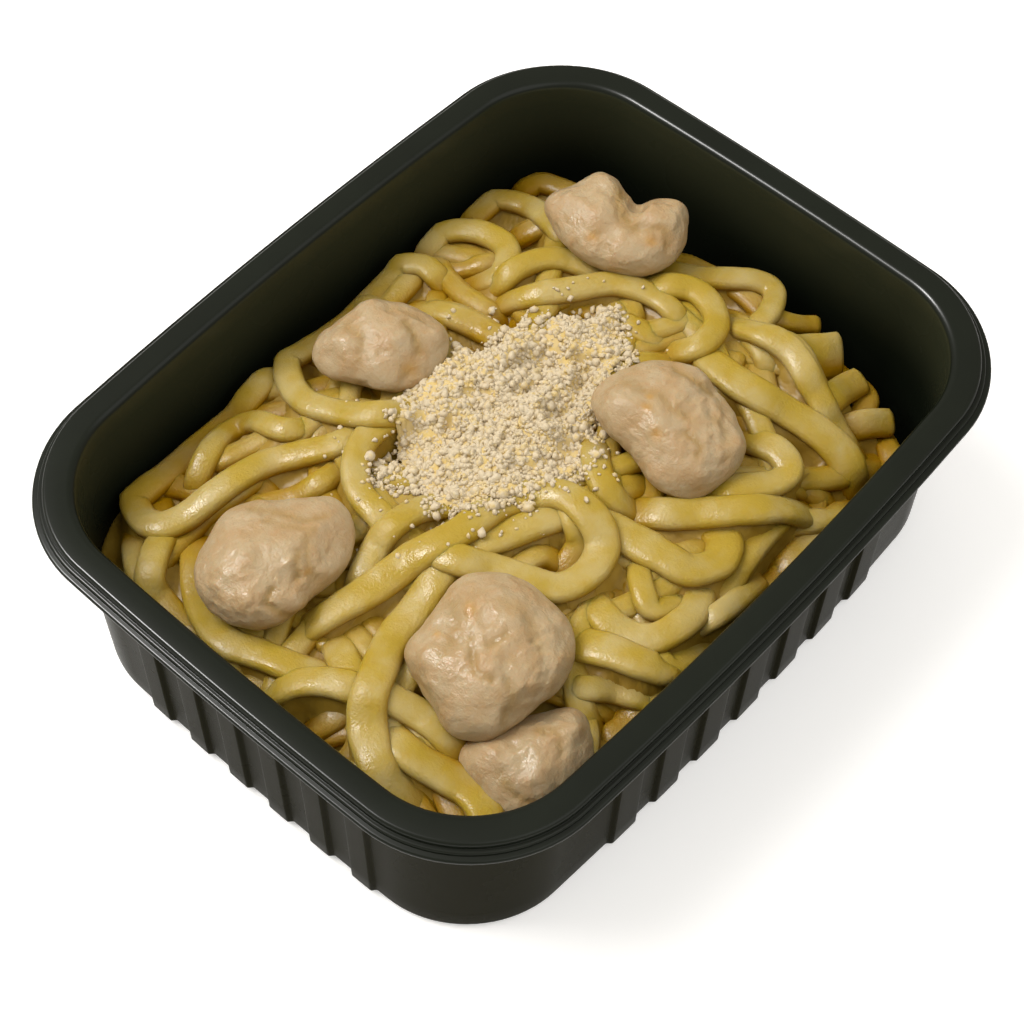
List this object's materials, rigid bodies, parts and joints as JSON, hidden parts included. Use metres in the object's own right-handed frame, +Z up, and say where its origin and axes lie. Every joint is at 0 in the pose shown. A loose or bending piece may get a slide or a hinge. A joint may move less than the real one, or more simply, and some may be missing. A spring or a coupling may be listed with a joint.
{
  "type": "fettuccine alfredo ready meal",
  "caption": "Fettuccine in cream sauce with chicken chunks and grated cheese, in a black rounded rectangular ready-meal tray with ribbed walls.",
  "frame": {"origin": "centre of the tray's base, on the surface that it stands on", "axes": "+X along the tray's long sides, +Y along its short sides, +Z up out of the tray"},
  "size_m": [0.19, 0.153, 0.056],
  "materials": {
    "tray_plastic": "satin black moulded plastic",
    "sauced_pasta": "cooked pasta with a thin wet cream sauce",
    "chicken_meat": "poached chicken with a thin glaze of sauce",
    "grated_cheese": "fine dry grated hard cheese"
  },
  "bodies": {
    "root": {"tray": "tray_plastic", "noodles": "sauced_pasta", "chicken_back": "chicken_meat", "chicken_left": "chicken_meat", "chicken_right": "chicken_meat", "chicken_near_left": "chicken_meat", "chicken_near": "chicken_meat", "chicken_near_low": "chicken_meat", "cheese": "grated_cheese"}
  },
  "joints": []
}
